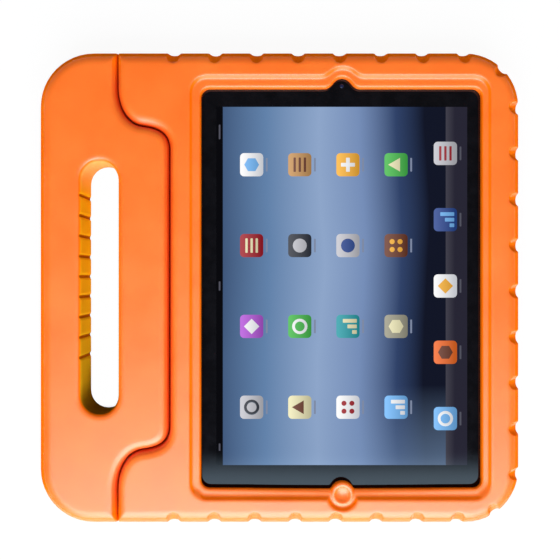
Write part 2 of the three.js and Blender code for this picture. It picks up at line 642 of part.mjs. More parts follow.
// The foam body: the block's part beyond the seam, with its pocket, window, pad and openings.
function caseBody() {
  const outline = grow(bodyOutline(), -SEAM_GAP / 2);
  const wall = outline.map((point) => new THREE.Vector2(Math.max(point.x, AXIS_X), point.y));
  const lowerWall = prism(wall, "z", -MARGIN, AXIS_Z + OVERRUN);
  const ears = seamRadii(outline, -1);
  const upperEar = turnedAboutAxis(ears.filter(({ y }) => y > 0));
  const lowerEar = turnedAboutAxis(ears.filter(({ y }) => y < 0));
  const whole = union([frontHalf(outline, EAR_ROUND), lowerWall, upperEar, lowerEar]);
  const pocket = prism(tabletOutline(FIT), "z", BACK_WALL, TABLET_FRONT + FIT);
  const notch = bellOutline(NOTCH_BASE, NOTCH_HEIGHT, WINDOW_TOP);
  const notchStep = bellOutline(NOTCH_STEP_BASE, NOTCH_STEP_HEIGHT, WINDOW_TOP + STEP_TOP);
  const homeStep = circleOutline(HOME_PAD, HOME_RING + HOME_MARGIN, LATHE_STEPS);
  const cameraHole = turned(
    [
      [0, -OVERRUN],
      [CAMERA_HOLE + CAMERA_FLARE, -OVERRUN],
      [CAMERA_HOLE + CAMERA_FLARE, 0],
      [CAMERA_HOLE, BACK_WALL / 2],
      [CAMERA_HOLE, BACK_WALL + OVERRUN],
      [0, BACK_WALL + OVERRUN],
    ],
    REAR_CAMERA.x,
    REAR_CAMERA.y,
    0,
    LATHE_STEPS,
  );
  const dock = slotOutline(TABLET_X, TABLET_MID, DOCK_WIDTH, DOCK_HEIGHT);
  const shaped = cut(foamBlock().intersect(whole), [
    pocket,
    windowCutter(windowOutline()),
    windowCutter(notch),
    stepCutter(stepOutline()),
    stepCutter(notchStep),
    stepCutter(homeStep),
    cameraHole,
    prism(speakerOutline(), "z", -OVERRUN, BACK_WALL + OVERRUN),
    prism(dock, "y", -TOP - MARGIN, TABLET_BOTTOM + OVERRUN),
    rod(JACK_RADIUS, TABLET_TOP - OVERRUN, TOP + MARGIN, JACK_X, TABLET_MID, BORE_STEPS),
    bushBore(1, 1),
    bushBore(-1, 1),
    powerRoom(),
    volumeRoom(),
  ]);
  return shaped.add(homePad());
}

function powerBar(growth, from, to) {
  const outline = slotOutline(TABLET_RIGHT - POWER_INSET, TABLET_MID, POWER_WIDTH, BUTTON_HEIGHT);
  return prism(grow(outline, growth), "y", from, to);
}

function volumeBar(growth, from, to) {
  const outline = slotOutline(TABLET_TOP - VOLUME_INSET, TABLET_MID, VOLUME_LENGTH, BUTTON_HEIGHT);
  return prism(grow(outline, growth), "x", from, to);
}

function powerRoom() {
  return powerBar(BUTTON_ROOM, TABLET_TOP - OVERRUN, TABLET_TOP + BUTTON_PROUD + BUTTON_ROOM);
}

function volumeRoom() {
  return volumeBar(BUTTON_ROOM, TABLET_RIGHT - OVERRUN, TABLET_RIGHT + BUTTON_PROUD + BUTTON_ROOM);
}

function powerButton() {
  return powerBar(0, TABLET_TOP + BUTTON_PROUD - BUTTON_DEPTH, TABLET_TOP + BUTTON_PROUD);
}

function volumeRocker() {
  return volumeBar(0, TABLET_RIGHT + BUTTON_PROUD - BUTTON_DEPTH, TABLET_RIGHT + BUTTON_PROUD);
}

function tabletOutline(growth) {
  return grow(
    centredRectangle(TABLET_X, TABLET_RISE, TABLET_WIDTH, TABLET_LENGTH, TABLET_CORNER, CORNER_STEPS),
    growth,
  );
}

// The aluminium tray: a thin floor and wall with room for the glass, the keys, the camera and the sockets.
function tabletShell() {
  const backEdge = roundLevels(TABLET_BACK_ROUND, SMALL_STEPS, (rise, inset) => [
    TABLET_BACK + TABLET_BACK_ROUND - rise,
    -inset,
  ]).reverse();
  const outer = stack(tabletOutline(0), [...backEdge, [TABLET_FRONT - GLASS_PROUD, 0]]);
  const inward = CAVITY_INSET + OVERRUN;
  const connector = slotOutline(TABLET_X, CONNECTOR_Z, CONNECTOR_WIDTH, CONNECTOR_HEIGHT);
  const lensHole = circleOutline(REAR_CAMERA, REAR_CAMERA_RADIUS + SEAT, BORE_STEPS);
  return cut(outer, [
    prism(tabletOutline(-CAVITY_INSET), "z", CAVITY_FLOOR, TABLET_FRONT),
    prism(tabletOutline(SEAT - GLASS_INSET), "z", GLASS_BACK - SEAT, TABLET_FRONT + OVERRUN),
    powerBar(BUTTON_CLEARANCE, TABLET_TOP - inward, TABLET_TOP + OVERRUN),
    volumeBar(BUTTON_CLEARANCE, TABLET_RIGHT - inward, TABLET_RIGHT + OVERRUN),
    prism(lensHole, "z", TABLET_BACK - OVERRUN, CAVITY_FLOOR + OVERRUN),
    prism(connector, "y", TABLET_BOTTOM - OVERRUN, TABLET_BOTTOM + inward),
    rod(JACK_BARREL + SEAT, TABLET_TOP - inward, TABLET_TOP + OVERRUN, JACK_X, JACK_Z, BORE_STEPS),
  ]);
}

function coverGlass() {
  const sheet = stack(tabletOutline(-GLASS_INSET), [
    [GLASS_BACK, 0],
    [TABLET_FRONT - GLASS_CHAMFER, 0],
    [TABLET_FRONT, -GLASS_CHAMFER],
  ]);
  const hole = circleOutline(HOME_CENTRE, HOME_RADIUS + HOME_CLEARANCE, BORE_STEPS);
  return sheet.subtract(prism(hole, "z", GLASS_BACK - OVERRUN, TABLET_FRONT + OVERRUN));
}

function homeButton() {
  const back = TABLET_FRONT - HOME_THICK;
  return turned(
    [
      [0, back],
      [HOME_RADIUS, back],
      [HOME_RADIUS, TABLET_FRONT - HOME_CHAMFER],
      [HOME_RADIUS - HOME_CHAMFER, TABLET_FRONT],
      [HOME_RIM, TABLET_FRONT - HOME_DISH / 2],
      [0, TABLET_FRONT - HOME_DISH],
    ],
    HOME_CENTRE.x,
    HOME_CENTRE.y,
    0,
    BORE_STEPS,
  );
}

function displayPanel() {
  const width = TABLET_WIDTH - 2 * BORDER_SIDE;
  const length = TABLET_LENGTH - 2 * BORDER_END;
  const outline = centredRectangle(TABLET_X, TABLET_RISE, width, length, DISPLAY_CORNER, SMALL_STEPS);
  const front = GLASS_BACK - SEAT;
  return prism(outline, "z", front - DISPLAY_THICK, front);
}

function batteryCell(side) {
  const x = TABLET_X + (side * (BATTERY_WIDTH + BATTERY_GAP)) / 2;
  const y = TABLET_BOTTOM + BATTERY_INSET + BATTERY_LENGTH / 2;
  const outline = centredRectangle(x, y, BATTERY_WIDTH, BATTERY_LENGTH, BATTERY_CORNER, SMALL_STEPS);
  const back = CAVITY_FLOOR + SEAT;
  return stack(outline, [
    [back, -BATTERY_SEAM],
    [back + BATTERY_SEAM, 0],
    [back + BATTERY_THICK - BATTERY_SEAM, 0],
    [back + BATTERY_THICK, -BATTERY_SEAM],
  ]);
}

function logicBoard() {
  const y = TABLET_TOP - BOARD_INSET - BOARD_LENGTH / 2;
  const outline = centredRectangle(TABLET_X, y, BOARD_WIDTH, BOARD_LENGTH, BOARD_CORNER, SMALL_STEPS);
  const back = CAVITY_FLOOR + SEAT;
  const board = prism(outline, "z", back, back + BOARD_THICK);
  const chips = Array.from({ length: CHIP_COUNT }, (_, i) => {
    const x = TABLET_X + ((i - (CHIP_COUNT - 1) / 2) * BOARD_WIDTH) / CHIP_COUNT;
    const size = i % 2 ? SMALL_CHIP_SIZE : CHIP_SIZE;
    const chip = centredRectangle(x, y, size, size, CHIP_CORNER, SMALL_STEPS);
    return prism(chip, "z", back + BOARD_THICK / 2, back + BOARD_THICK + CHIP_THICK);
  });
  return union([board, ...chips]);
}

// A camera's barrel with its lens in a shallow recess, looking along +Z from height 0.
function cameraBarrel(radius, depth) {
  const recess = radius * LENS_SHARE;
  return turned(
    [
      [0, -depth],
      [radius, -depth],
      [radius, 0],
      [recess, 0],
      [recess - LENS_DEPTH, -LENS_DEPTH],
      [0, LENS_DOME - LENS_DEPTH],
    ],
    0,
    0,
    0,
    BORE_STEPS,
  );
}

function frontCamera() {
  const barrel = cameraBarrel(FRONT_CAMERA_RADIUS, FRONT_CAMERA_DEPTH);
  return barrel.translate([TABLET_X, TABLET_TOP - FRONT_CAMERA_INSET, GLASS_BACK - SEAT]);
}

function rearCamera() {
  const barrel = cameraBarrel(REAR_CAMERA_RADIUS, REAR_CAMERA_DEPTH).rotate([180, 0, 0]);
  return barrel.translate([REAR_CAMERA.x, REAR_CAMERA.y, TABLET_BACK]);
}

function dockConnector() {
  const inner = slotOutline(TABLET_X, CONNECTOR_Z, CONNECTOR_WIDTH, CONNECTOR_HEIGHT);
  const near = TABLET_BOTTOM + CAVITY_INSET + SEAT;
  const outer = prism(grow(inner, CONNECTOR_WALL), "y", near, near + DOCK_DEPTH);
  return outer.subtract(prism(inner, "y", near - OVERRUN, near + DOCK_DEPTH - CONNECTOR_WALL));
}

function headphoneJack() {
  const near = TABLET_TOP - JACK_SETBACK;
  const far = near - JACK_LENGTH;
  const outer = rod(JACK_BARREL, far, near, JACK_X, JACK_Z, BORE_STEPS);
  return outer.subtract(rod(JACK_BORE, far + JACK_END_WALL, near + OVERRUN, JACK_X, JACK_Z, BORE_STEPS));
}

function speakerBox() {
  const back = CAVITY_FLOOR + SEAT;
  return prism(speakerOutline(), "z", back, back + SPEAKER_BOX_HEIGHT);
}

// The pin of one hinge, fixed in the ear and turning in the tongue.
function hingePin(end) {
  const reach = BUSH_SETBACK + BUSH_LENGTH;
  const near = end * (PIN_Y - reach);
  const far = end * (PIN_Y + reach);
  return rod(PIN_RADIUS, Math.min(near, far), Math.max(near, far), AXIS_X, AXIS_Z, BORE_STEPS);
}

function bush(end, side) {
  const near = end * (PIN_Y + side * BUSH_SETBACK);
  const far = end * (PIN_Y + side * (BUSH_SETBACK + BUSH_LENGTH));
  const [from, to] = [Math.min(near, far), Math.max(near, far)];
  const bore = rod(PIN_RADIUS + PIN_CLEARANCE, from - OVERRUN, to + OVERRUN, AXIS_X, AXIS_Z, BORE_STEPS);
  return rod(BUSH_RADIUS, from, to, AXIS_X, AXIS_Z, BORE_STEPS).subtract(bore);
}

const part = new THREE.Group();

function addPiece(name, solid, finish) {
  const mesh = new THREE.Mesh(geometryOf(solid), new THREE.MeshStandardMaterial(MATERIALS[finish]));
  mesh.geometry.computeVertexNormals();
  mesh.name = name;
  part.add(mesh);
}

addPiece("case_body", caseBody(), "foam");
addPiece("handle", handle(), "foam");
for (const [end, place] of [[1, "top"], [-1, "bottom"]]) {
  addPiece(`hinge_pin_${place}`, hingePin(end), "steel");
  addPiece(`ear_bush_${place}`, bush(end, 1), "nylon");
  addPiece(`handle_bush_${place}`, bush(end, -1), "nylon");
}
addPiece("tablet_shell", tabletShell(), "aluminium");
addPiece("cover_glass", coverGlass(), "glass");
addPiece("display_panel", displayPanel(), "screen");
addPiece("battery_cell_left", batteryCell(-1), "battery");
addPiece("battery_cell_right", batteryCell(1), "battery");
addPiece("logic_board", logicBoard(), "board");
addPiece("front_camera", frontCamera(), "plastic");
addPiece("rear_camera", rearCamera(), "plastic");
addPiece("dock_connector", dockConnector(), "plastic");
addPiece("headphone_jack", headphoneJack(), "plastic");
addPiece("speaker", speakerBox(), "plastic");
addPiece("home_button", homeButton(), "plastic");
addPiece("power_button", powerButton(), "aluminium");
addPiece("volume_rocker", volumeRocker(), "aluminium");

export default part;
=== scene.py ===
# A child's orange foam tablet case with a fold-back handle, seen from straight above on a pale floor.
import json
import math

import bmesh
import bpy
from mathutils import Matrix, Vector

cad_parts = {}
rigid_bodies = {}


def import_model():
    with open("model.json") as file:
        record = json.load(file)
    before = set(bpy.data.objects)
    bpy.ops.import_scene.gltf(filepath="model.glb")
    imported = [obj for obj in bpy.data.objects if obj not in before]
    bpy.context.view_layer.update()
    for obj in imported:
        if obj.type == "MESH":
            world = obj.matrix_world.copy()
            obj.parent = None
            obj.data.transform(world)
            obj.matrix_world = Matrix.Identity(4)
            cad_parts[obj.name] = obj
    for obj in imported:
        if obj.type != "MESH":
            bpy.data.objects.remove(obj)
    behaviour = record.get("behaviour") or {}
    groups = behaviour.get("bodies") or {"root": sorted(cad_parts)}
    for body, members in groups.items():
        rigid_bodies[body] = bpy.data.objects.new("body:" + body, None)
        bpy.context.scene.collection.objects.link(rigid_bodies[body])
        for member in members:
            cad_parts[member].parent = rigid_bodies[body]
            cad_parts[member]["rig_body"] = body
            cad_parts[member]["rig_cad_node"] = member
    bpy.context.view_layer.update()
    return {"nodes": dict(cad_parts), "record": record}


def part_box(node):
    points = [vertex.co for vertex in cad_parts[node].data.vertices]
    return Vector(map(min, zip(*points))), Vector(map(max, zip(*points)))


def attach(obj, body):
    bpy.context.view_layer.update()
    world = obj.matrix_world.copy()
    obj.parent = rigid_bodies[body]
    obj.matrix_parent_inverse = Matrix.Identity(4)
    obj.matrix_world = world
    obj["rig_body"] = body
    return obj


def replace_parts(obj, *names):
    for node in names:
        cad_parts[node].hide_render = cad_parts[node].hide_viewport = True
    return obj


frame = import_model()
bpy.ops.object.select_all(action="DESELECT")

MM = 0.001

# Places taken from the solids
SLOT = [Vector(corner) for corner in frame["record"]["physics"]["openings"][0]["box_m"]]
PANEL_LOW, PANEL_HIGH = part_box("display_panel")
PANEL = (PANEL_LOW + PANEL_HIGH) / 2
GLASS_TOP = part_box("cover_glass")[1].z
BODY_LOW, BODY_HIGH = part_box("case_body")

# Meshes of the foam mouldings
MERGE_DISTANCE = 0.002 * MM
FOAM_VOXEL = 0.6 * MM
FOAM_SMOOTHING = 4
FOAM_TRIANGLES = 190000

# Box round the window's lower edge, and how far that edge moves over the glass
LIP_LOW = Vector((-46, -112.3, 21)) * MM
LIP_HIGH = Vector((114, -104, 25.2)) * MM
LIP_BULGE = 1.3 * MM

# Pad over the home button, and the ball that hollows it
PAD_MARGIN = 3 * MM
PAD_BULGE = 0.8 * MM
PAD_DROP = 1.0 * MM
PAD_SHIFT = -2.0 * MM
BOWL_RADIUS = 7.3 * MM
BOWL_DEPTH = 1.9 * MM

# Foam's colours, and the painted shade and painted light on the seam and the finger slot
FOAM_DEEP = (0.88, 0.14, 0.002)
FOAM_PALE = (0.92, 0.165, 0.004)
FOAM_SPECK = (1.0, 0.3, 0.03)
# Painted shade on the flanks of the hinge seam
SEAM_SHADE = (0.74, 0.065, 0.0015)
# Painted shade at the bottom of the slot's grooves
GROOVE_SHADE = (0.42, 0.1, 0.002)
# Painted light and shade on the slot's walls: shade at the lower end, an amber glow along them, a cream
# highlight at the upper end
SLOT_END_SHADE = (0.16, 0.075, 0.004)
SLOT_LOW_SHADE = (0.66, 0.36, 0.008)
SLOT_PAINTED_GLOW = (0.86, 0.38, 0.006)
SLOT_TOP_HIGHLIGHT = (0.84, 0.32, 0.09)
SLOT_LIGHT_AND_SHADE = [(0.03, SLOT_END_SHADE), (0.14, SLOT_LOW_SHADE), (0.6, SLOT_PAINTED_GLOW), (0.86, SLOT_PAINTED_GLOW), (0.95, SLOT_TOP_HIGHLIGHT)]

# How far the slot's painted light and shade reach past the slot, half the length that they run over, and
# the strip along the hinge seam that holds its painted shade
SLOT_REACH = 7 * MM
SLOT_HALF = 72 * MM
SEAM_LEFT = 4 * MM
SEAM_RIGHT = 36 * MM
SEAM_FADE = (18 * MM, 6 * MM)

# Grooves of the finger slot, and the share of their pitch taken by each line of painted shade
GROOVE_PITCH = 11.05 * MM
GROOVE_SHIFT = 6.2 * MM
GROOVE_COUNT = 9
GROOVE_SHARE = 0.1

# How level a face is, from 0 upright to 1 level, as the painted slot light and painted seam shade fade out
# and the gloss sets in
WALL_LEVEL = (0.3, 0.75)
FLANK_LEVEL = (0.5, 0.93)
GLOSS_LEVEL = (0.77, 0.87)

# How far a face has to look towards -Y to shine as well, and how much
LOWER_FACING = (-0.3, -0.8)
LOWER_GLOSS = 0.75

# Foam's specks, pores and roughness
SPECK_SPAN = (0.35, 0.75)
SPECK_SHARE = 0.06
PORE_SHARE = 0.5
FOAM_ROUGHNESS = (0.38, 0.44)

# Values between which most of a noise pattern lies
NOISE_SPAN = (0.3, 0.7)

# Lit picture of the display, with its shelf and its status strip. A mark on the strip has its place along
# the picture, as a share of the picture's length, and its own length.
PICTURE_WIDTH = 138.1 * MM
PICTURE_LENGTH = 197.2 * MM
PICTURE_CORNER = 0.6 * MM
STATUS_WIDTH = 3.6 * MM
STATUS_MARK_WIDTH = 0.9 * MM
STATUS_MARKS = ((-0.45, 4 * MM), (0.0, 5 * MM), (0.43, 8 * MM))
SHELF_WIDTH = 11.8 * MM
STRIP_CORNER = 0.3 * MM

# Haze over the picture, and the pale veil at its lower right
HAZE_SHARE = 0.1
VEIL_LENGTH = 44 * MM
VEIL_SHARE = 0.5
VEIL_COLOUR = (0.18, 0.28, 0.46)

# Tiles on the picture, with a caption below each
TILE_SIZE = 12.8 * MM
TILE_CORNER = 2.2 * MM
TILE_PITCH_X = 26.5 * MM
TILE_PITCH_Y = 44.5 * MM
TILE_COLUMNS = 4
TILE_ROWS = 4
FIRST_COLUMN = PANEL.x - 49.6 * MM
SHELF_PITCH_Y = 36.5 * MM
SHELF_TILES = 5
SHELF_TILE_INSET = 12.0 * MM
CAPTION_WIDTH = 1.0 * MM
CAPTION_LENGTH = 7.5 * MM
CAPTION_GAP = 1.9 * MM
TILE_SHADING = (0.3, 0.72)

# Layers of the display, from the glass up
GLASS_GAP = 0.01 * MM
LAYER = 0.05 * MM
LAYER_FILL = 0.8
PICTURE_LAYER, STRIP_LAYER, TILE_LAYER, MOTIF_LAYER = range(4)

# Lens of the front camera
LENS_RADIUS = 1.1 * MM
LENS_FLATNESS = 0.15

# Camera, in metres
CAMERA_PLACE = Vector((0.00028, 0.00419, 0.4393))
CAMERA_LENS = 49.03
CAMERA_NEAR = 0.01

# Floor: how white the camera sees it, where the closed case keeps it dark, and how far past the slot
# painted light clears its shadow
FLOOR_SIZE = 8.0
FLOOR_GLOW = 0.94
COVER_INSET = 12 * MM
COVER_PAST_SEAM = 3 * MM
SLOT_LIGHT_REACH = 6 * MM

# Lights and sky, in metres and watts
LIGHT_TARGET = Vector((0, 0, 0.01))
KEY_PLACE = (0.0, -0.82, 0.68)
KEY_SIZE = (1.2, 0.9)
KEY_POWER = 23.0
CARD_PLACE = (0.0, -0.49, 1.0)
CARD_SIZE = (1.4, 0.36)
CARD_POWER = 4.6
CARD_COLOUR = (0.58, 0.8, 1.0)
CARD_FADE = (1.0, 0.82)
SKY_COLOUR = (1.0, 0.98, 0.95, 1.0)
SKY = 0.34
SKY_REFLECTED = 0.01


# Shared node helpers


class Nodes:
    """A node tree of a material, a light or the world, with short calls for the nodes that they share."""

    def __init__(self, owner):
        owner.use_nodes = True
        self.tree = owner.node_tree

    def add(self, kind, **settings):
        node = self.tree.nodes.new(kind)
        for key, value in settings.items():
            setattr(node, key, value)
        return node

    def link(self, start, end):
        self.tree.links.new(start, end)

    def part(self, vector, name):
        """One of a vector's X, Y and Z."""
        node = self.add("ShaderNodeSeparateXYZ")
        self.link(vector, node.inputs["Vector"])
        return node.outputs[name]

    def spread(self, value, low, high, to_low=0.0, to_high=1.0):
        """Stretches the values between two limits over another range, and holds them there beyond it."""
        node = self.add("ShaderNodeMapRange")
        node.inputs["From Min"].default_value = low
        node.inputs["From Max"].default_value = high
        node.inputs["To Min"].default_value = to_low
        node.inputs["To Max"].default_value = to_high
        self.link(value, node.inputs["Value"])
        return node.outputs["Result"]

    def blend(self, share, first, second):
        """Mixes two shaders."""
        node = self.add("ShaderNodeMixShader")
        for source, socket in zip((share, first, second), node.inputs):
            self.link(source, socket)
        return node.outputs["Shader"]

    def maths(self, operation, first, second=0.0):
        node = self.add("ShaderNodeMath", operation=operation)
        for source, socket in zip((first, second), node.inputs):
            if isinstance(source, bpy.types.NodeSocket):
                self.link(source, socket)
            else:
                socket.default_value = source
        return node.outputs["Value"]

    def plus(self, first, second):
        return self.maths("ADD", first, second)

    def minus(self, first, second):
        return self.maths("SUBTRACT", first, second)

    def times(self, first, second):
        return self.maths("MULTIPLY", first, second)

    def unsigned(self, value):
        """A value without its sign."""
        return self.maths("ABSOLUTE", value)

    def outside(self, mask):
        """A mask turned round: 1 where it is 0."""
        return self.minus(1.0, mask)


class Finish(Nodes):
    """A material's node tree round its main shader, with patterns that lie still on their piece."""

    def __init__(self, name):
        self.material = bpy.data.materials.new(name)
        super().__init__(self.material)
        self.shader = self.tree.nodes["Principled BSDF"]
        self.place = self.add("ShaderNodeTexCoord").outputs["Object"]

    def axis(self, name):
        """One coordinate of the place on the piece."""
        return self.part(self.place, name)

    def facing(self, name):
        """How far the surface looks along an axis of its piece, from -1 to 1."""
        return self.part(self.add("ShaderNodeTexCoord").outputs["Normal"], name)

    def noise(self, scale, detail=3.0, roughness=0.5):
        node = self.add("ShaderNodeTexNoise")
        node.inputs["Scale"].default_value = scale
        node.inputs["Detail"].default_value = detail
        node.inputs["Roughness"].default_value = roughness
        self.link(self.place, node.inputs["Vector"])
        return node.outputs["Fac"]

    def cells(self, scale):
        node = self.add("ShaderNodeTexVoronoi")
        node.inputs["Scale"].default_value = scale
        self.link(self.place, node.inputs["Vector"])
        return node.outputs["Distance"]

    def ramp(self, value, stops):
        node = self.add("ShaderNodeValToRGB")
        ramp = node.color_ramp
        while len(ramp.elements) < len(stops):
            ramp.elements.new(0.5)
        for element, (position, colour) in zip(ramp.elements, stops):
            element.position = position
            element.color = (*colour, 1.0)
        self.link(value, node.inputs["Fac"])
        return node.outputs["Color"]

    def shades(self, noise, first, second):
        """A noise pattern in two colours that run into each other."""
        return self.ramp(noise, list(zip(NOISE_SPAN, (first, second))))

    def mix(self, share, first, second):
        """Mixes two colours."""
        node = self.add("ShaderNodeMix", data_type="RGBA")
        for source, name in ((share, "Factor"), (first, "A"), (second, "B")):
            socket = [s for s in node.inputs if s.name == name and s.enabled][0]
            if isinstance(source, bpy.types.NodeSocket):
                self.link(source, socket)
            else:
                socket.default_value = (*source, 1.0)
        return [s for s in node.outputs if s.enabled][0]

    def bump(self, height, distance, strength):
        node = self.add("ShaderNodeBump")
        node.inputs["Distance"].default_value = distance
        node.inputs["Strength"].default_value = strength
        self.link(height, node.inputs["Height"])
        self.link(node.outputs["Normal"], self.shader.inputs["Normal"])

    def set(self, **values):
        """Sets inputs of the main shader. A colour is given without its alpha."""
        for name, value in values.items():
            socket = self.shader.inputs[name.replace("_", " ")]
            if isinstance(value, bpy.types.NodeSocket):
                self.link(value, socket)
            elif socket.type == "RGBA":
                socket.default_value = (*value, 1.0)
            else:
                socket.default_value = value


def within(n, box, growth=0.0):
    """A mask that is 1 where the place lies in a box across X and Y, grown by a distance."""
    low, high = box
    mask = 1.0
    for i, name in enumerate("XY"):
        above = n.maths("GREATER_THAN", n.axis(name), low[i] - growth)
        below = n.maths("LESS_THAN", n.axis(name), high[i] + growth)
        mask = n.times(n.times(above, below), mask)
    return mask


# Foam


def grooves(n):
    """A mask of thin lines of painted shade across the finger slot's grip side, at the bottom of its
    grooves.
    """
    steps_along = n.maths("DIVIDE", n.minus(n.axis("Y"), GROOVE_SHIFT), GROOVE_PITCH)
    off = n.unsigned(n.minus(steps_along, n.maths("ROUND", steps_along)))
    line = n.spread(off, GROOVE_SHARE / 2, GROOVE_SHARE, 1.0, 0.0)
    held = n.maths("LESS_THAN", n.unsigned(steps_along), GROOVE_COUNT / 2)
    grip = n.maths("LESS_THAN", n.axis("X"), (SLOT[0].x + SLOT[1].x) / 2)
    return n.times(n.times(line, held), grip)


def slot_painted_light(n):
    """Painted light and shade on the finger slot's walls: a painted amber glow, painted shade at the lower
    end, a painted cream highlight at the upper end and a line of painted shade in each groove.
    """
    along = n.spread(n.axis("Y"), -SLOT_HALF, SLOT_HALF)
    return n.mix(grooves(n), n.ramp(along, SLOT_LIGHT_AND_SHADE), GROOVE_SHADE)


def seam_strip(n):
    """A mask of the strip that holds the hinge seam, where its painted shade and extra gloss lie. It fades
    out towards the seam's two ends.
    """
    strip_box = ((BODY_LOW.x - SEAM_LEFT, BODY_LOW.y), (BODY_LOW.x + SEAM_RIGHT, BODY_HIGH.y))
    full, gone = (BODY_HIGH.y - distance for distance in SEAM_FADE)
    inward = n.spread(n.unsigned(n.axis("Y")), full, gone, 1.0, 0.0)
    return n.times(within(n, strip_box), inward)


def foam_skin():
    """Moulded closed-cell foam: a fine leathery grain, faint mottling and a soft gloss."""
    n = Finish("orange_foam")
    mottle = n.noise(scale=45.0, detail=4.0)
    grain = n.noise(scale=1500.0, detail=2.0, roughness=0.6)
    pores = n.cells(scale=2600.0)
    level = n.unsigned(n.facing("Z"))
    in_slot = within(n, SLOT, SLOT_REACH)
    by_seam = n.times(seam_strip(n), n.outside(in_slot))

    colour = n.shades(mottle, FOAM_DEEP, FOAM_PALE)
    colour = n.mix(n.times(n.spread(grain, *SPECK_SPAN), SPECK_SHARE), colour, FOAM_SPECK)
    # Painted light and shade on the slot's upright walls
    slot_light_share = n.times(in_slot, n.spread(level, *WALL_LEVEL, 1.0, 0.0))
    colour = n.mix(slot_light_share, colour, slot_painted_light(n))
    # Painted shade on the rounded flanks beside the hinge seam, deep red as in a crease
    painted_seam_shade = n.times(by_seam, n.spread(level, *FLANK_LEVEL, 1.0, 0.0))
    colour = n.mix(painted_seam_shade, colour, SEAM_SHADE)

    lower_side = n.spread(n.facing("Y"), *LOWER_FACING, 0.0, LOWER_GLOSS)
    lower_side = n.times(lower_side, n.outside(in_slot))
    gloss = n.maths("MAXIMUM", n.spread(level, *GLOSS_LEVEL), lower_side)
    gloss = n.maths("MAXIMUM", gloss, by_seam)

    n.set(Base_Color=colour, Specular_IOR_Level=gloss)
    n.set(Roughness=n.spread(mottle, *NOISE_SPAN, *FOAM_ROUGHNESS))
    n.set(Subsurface_Weight=0.2, Subsurface_Scale=3 * MM, Subsurface_Radius=(1.0, 0.3, 0.1))
    n.bump(n.plus(grain, n.times(pores, PORE_SHARE)), distance=0.05 * MM, strength=0.5)
    return n.material


# Other finishes


def drawn_steel():
    n = Finish("drawn_steel")
    streaks = n.noise(scale=900.0, detail=4.0)
    n.set(Base_Color=n.shades(streaks, (0.52, 0.53, 0.54), (0.68, 0.68, 0.69)), Metallic=1.0)
    n.set(Roughness=n.spread(streaks, *NOISE_SPAN, 0.22, 0.34))
    return n.material


def natural_nylon():
    n = Finish("natural_nylon")
    cloud = n.noise(scale=400.0)
    n.set(Base_Color=n.shades(cloud, (0.74, 0.71, 0.63), (0.82, 0.8, 0.74)), Roughness=0.45)
    n.bump(cloud, distance=0.02 * MM, strength=0.3)
    return n.material


def blasted_aluminium():
    n = Finish("blasted_aluminium")
    grain = n.noise(scale=5000.0, detail=2.0)
    n.set(Base_Color=n.shades(grain, (0.66, 0.67, 0.68), (0.76, 0.77, 0.78)), Metallic=1.0)
    n.set(Roughness=n.spread(grain, *NOISE_SPAN, 0.34, 0.44))
    n.bump(grain, distance=0.01 * MM, strength=0.4)
    return n.material


def black_glass():
    """The glass border: black print under a polished sheet, with a trace of dust."""
    n = Finish("black_glass")
    dust = n.noise(scale=120.0, detail=5.0, roughness=0.7)
    n.set(Base_Color=n.ramp(dust, [(0.4, (0.003, 0.003, 0.004)), (0.8, (0.006, 0.006, 0.008))]))
    n.set(Roughness=n.spread(dust, 0.4, 0.9, 0.04, 0.1))
    return n.material


def foil_pouch():
    n = Finish("foil_pouch")
    creases = n.noise(scale=200.0, detail=5.0)
    n.set(Base_Color=n.shades(creases, (0.02, 0.02, 0.022), (0.05, 0.05, 0.055)), Roughness=0.5)
    n.bump(creases, distance=0.1 * MM, strength=0.4)
    return n.material


def solder_mask():
    n = Finish("solder_mask")
    traces = n.cells(scale=600.0)
    n.set(Base_Color=n.ramp(traces, [(0.2, (0.01, 0.07, 0.03)), (0.6, (0.02, 0.12, 0.06))]), Roughness=0.35)
    return n.material


def moulded_plastic():
    n = Finish("black_plastic")
    grain = n.noise(scale=1500.0)
    n.set(Base_Color=n.shades(grain, (0.01, 0.01, 0.012), (0.02, 0.02, 0.023)))
    n.set(Roughness=n.spread(grain, *NOISE_SPAN, 0.22, 0.32))
    return n.material


def lens_glass():
    n = Finish("lens_glass")
    tint = n.noise(scale=900.0, detail=1.0)
    n.set(Base_Color=n.shades(tint, (0.006, 0.009, 0.03), (0.015, 0.025, 0.07)), Roughness=0.12)
    return n.material


def lit(n, colour):
    """Makes a finish a lit patch of the display behind polished glass."""
    n.set(Base_Color=(0.0, 0.0, 0.0), Emission_Color=colour, Emission_Strength=1.0, Roughness=0.05)
    return n.material


def wallpaper(low, high):
    """The display's background: a soft sweep from slate blue over pale blue to near black."""
    n = Finish("display_picture")
    across = n.spread(n.axis("X"), low.x, high.x)
    haze = n.minus(n.noise(scale=9.0, detail=2.0), 0.5)
    colour = n.ramp(
        n.plus(across, n.times(haze, HAZE_SHARE)),
        [
            (0.0, (0.045, 0.085, 0.18)),
            (0.2, (0.12, 0.22, 0.4)),
            (0.42, (0.27, 0.38, 0.59)),
            (0.58, (0.18, 0.27, 0.48)),
            (0.73, (0.03, 0.055, 0.14)),
            (0.84, (0.006, 0.008, 0.02)),
        ],
    )
    veil = n.times(n.spread(n.axis("Y"), low.y + VEIL_LENGTH, low.y, 0.0, VEIL_SHARE), across)
    return lit(n, n.mix(veil, colour, VEIL_COLOUR))


def screen_paint(name, colour):
    """A colour of the display's tiles, lighter towards each tile's upper edge, which is at -X."""
    n = Finish("lit_" + name)
    columns = n.maths("DIVIDE", n.minus(n.axis("X"), FIRST_COLUMN), TILE_PITCH_X)
    across_tile = n.maths("FRACT", n.plus(columns, 0.5))
    pale = tuple(min(1.0, c * 1.2 + 0.06) for c in colour)
    deep = tuple(c * 0.7 for c in colour)
    return lit(n, n.ramp(across_tile, list(zip(TILE_SHADING, (pale, deep)))))


